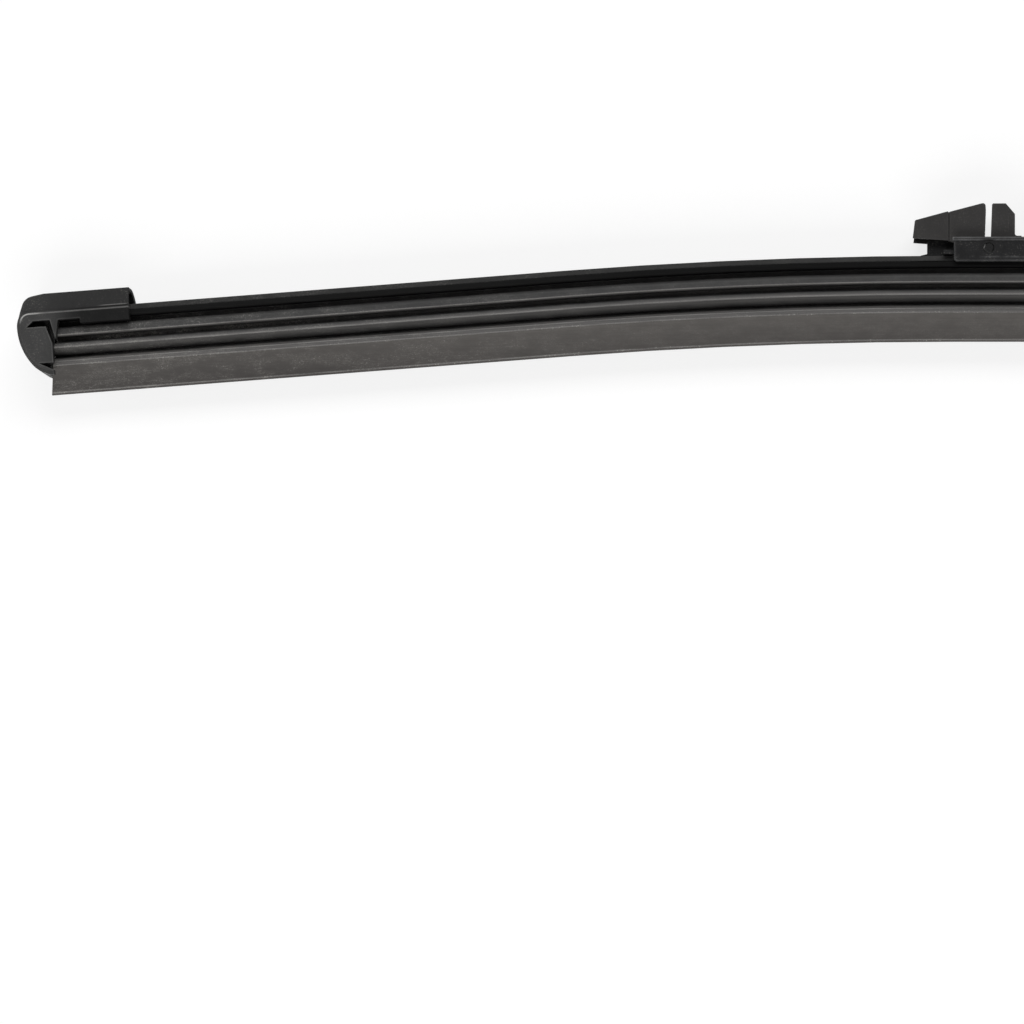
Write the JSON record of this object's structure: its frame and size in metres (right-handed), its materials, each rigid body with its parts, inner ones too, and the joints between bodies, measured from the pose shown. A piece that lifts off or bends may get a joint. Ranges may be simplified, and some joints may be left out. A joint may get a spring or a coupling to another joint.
{
  "type": "wiper blade",
  "caption": "Flat beam wiper blade: profiled rubber on curved spring rails, moulded end caps, and a central connector base in which the wiper arm's adapter rocks on a cross pin.",
  "frame": {"origin": "floor of the adapter's latch slit, midway across the blade and straight above the cross pin", "axes": "+X along the blade, away from the adapter's nose; +Y across it, away from the picture's viewer; +Z away from the glass, towards the wiper arm"},
  "size_m": [0.3306, 0.012, 0.0324],
  "materials": {
    "rubber": "dark grey rubber with a dusty bloom on the lip",
    "rail": "black coated spring steel",
    "cap": "black moulded plastic, fine grain",
    "base": "black moulded plastic, smooth",
    "pin": "blackened steel",
    "adapter": "charcoal moulded plastic"
  },
  "bodies": {
    "adapter": {"arm_adapter": "adapter"},
    "blade": {"wiper_rubber": "rubber", "spring_rail_near": "rail", "spring_rail_far": "rail", "end_cap_left": "cap", "end_cap_right": "cap", "connector_base": "base", "pivot_pin": "pin"}
  },
  "joints": [
    {"name": "blade_rock", "type": "hinge", "parent": "adapter", "child": "blade", "pos_m": [0, 0, -0.0021], "axis": [0, 1, 0], "range_deg": [-10, 8]}
  ]
}
